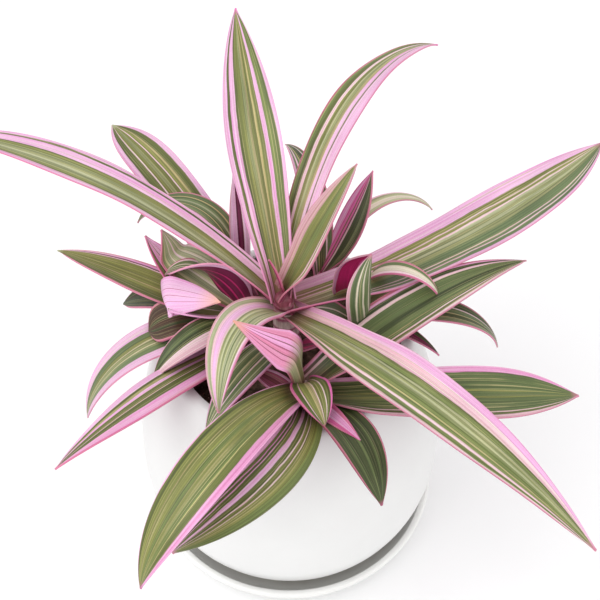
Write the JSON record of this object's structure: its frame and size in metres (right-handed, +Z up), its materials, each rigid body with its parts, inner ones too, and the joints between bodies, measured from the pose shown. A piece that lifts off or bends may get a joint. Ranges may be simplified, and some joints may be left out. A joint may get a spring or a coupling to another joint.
{
  "type": "potted tradescantia",
  "caption": "Tricolour tradescantia with long striped green, cream and pink leaves in a white rounded ceramic pot on its saucer.",
  "frame": {"origin": "centre of the saucer's flat underside, where the whole rests on the ground", "axes": "+Z up, -Y towards the viewer of the picture, +X to that viewer's right"},
  "size_m": [0.3323, 0.2598, 0.2401],
  "materials": {
    "pot_white": "satin",
    "soil": "matte",
    "stem": "satin",
    "leaf_green": "satin",
    "leaf_dark": "satin",
    "leaf_pink": "satin",
    "leaf_purple": "satin"
  },
  "bodies": {
    "root": {"saucer": "pot_white", "pot": "pot_white", "soil": "soil", "stem_main": "stem", "stem_front": "stem", "stem_left": "stem", "stem_right": "stem", "stem_back_right": "stem", "stem_back_left": "stem", "leaf_left_long": "leaf_green", "leaf_tall": "leaf_green", "leaf_right_long": "leaf_green", "leaf_upper_right": "leaf_green", "leaf_inner": "leaf_green", "leaf_front_long": "leaf_green", "leaf_front_curl": "leaf_green", "leaf_low_left": "leaf_green", "leaf_young": "leaf_purple", "leaf_front_big": "leaf_green", "leaf_front_under": "leaf_green", "leaf_front_right": "leaf_green", "leaf_right_dark": "leaf_dark", "leaf_front_dark": "leaf_dark", "leaf_front_sliver": "leaf_pink", "leaf_fold_front": "leaf_green", "leaf_fold_left": "leaf_pink", "leaf_left_olive": "leaf_green", "leaf_left_bud": "leaf_pink", "leaf_left_dark": "leaf_dark", "leaf_left_brown": "leaf_purple", "leaf_left_green": "leaf_dark", "leaf_left_pink_edge": "leaf_pink", "leaf_left_low": "leaf_green", "leaf_left_fold": "leaf_pink", "leaf_left_wall": "leaf_purple", "leaf_left_arch": "leaf_purple", "leaf_hood": "leaf_purple", "leaf_right_small": "leaf_green", "leaf_right_ribbon": "leaf_pink", "leaf_right_hook": "leaf_dark", "leaf_right_purple": "leaf_purple", "leaf_back_hook": "leaf_green", "leaf_back_bud": "leaf_pink", "leaf_back_pale": "leaf_green", "leaf_back_small": "leaf_green", "leaf_far_left": "leaf_green", "leaf_back_left_arch": "leaf_green", "leaf_back_left_sliver": "leaf_green"}
  },
  "joints": []
}
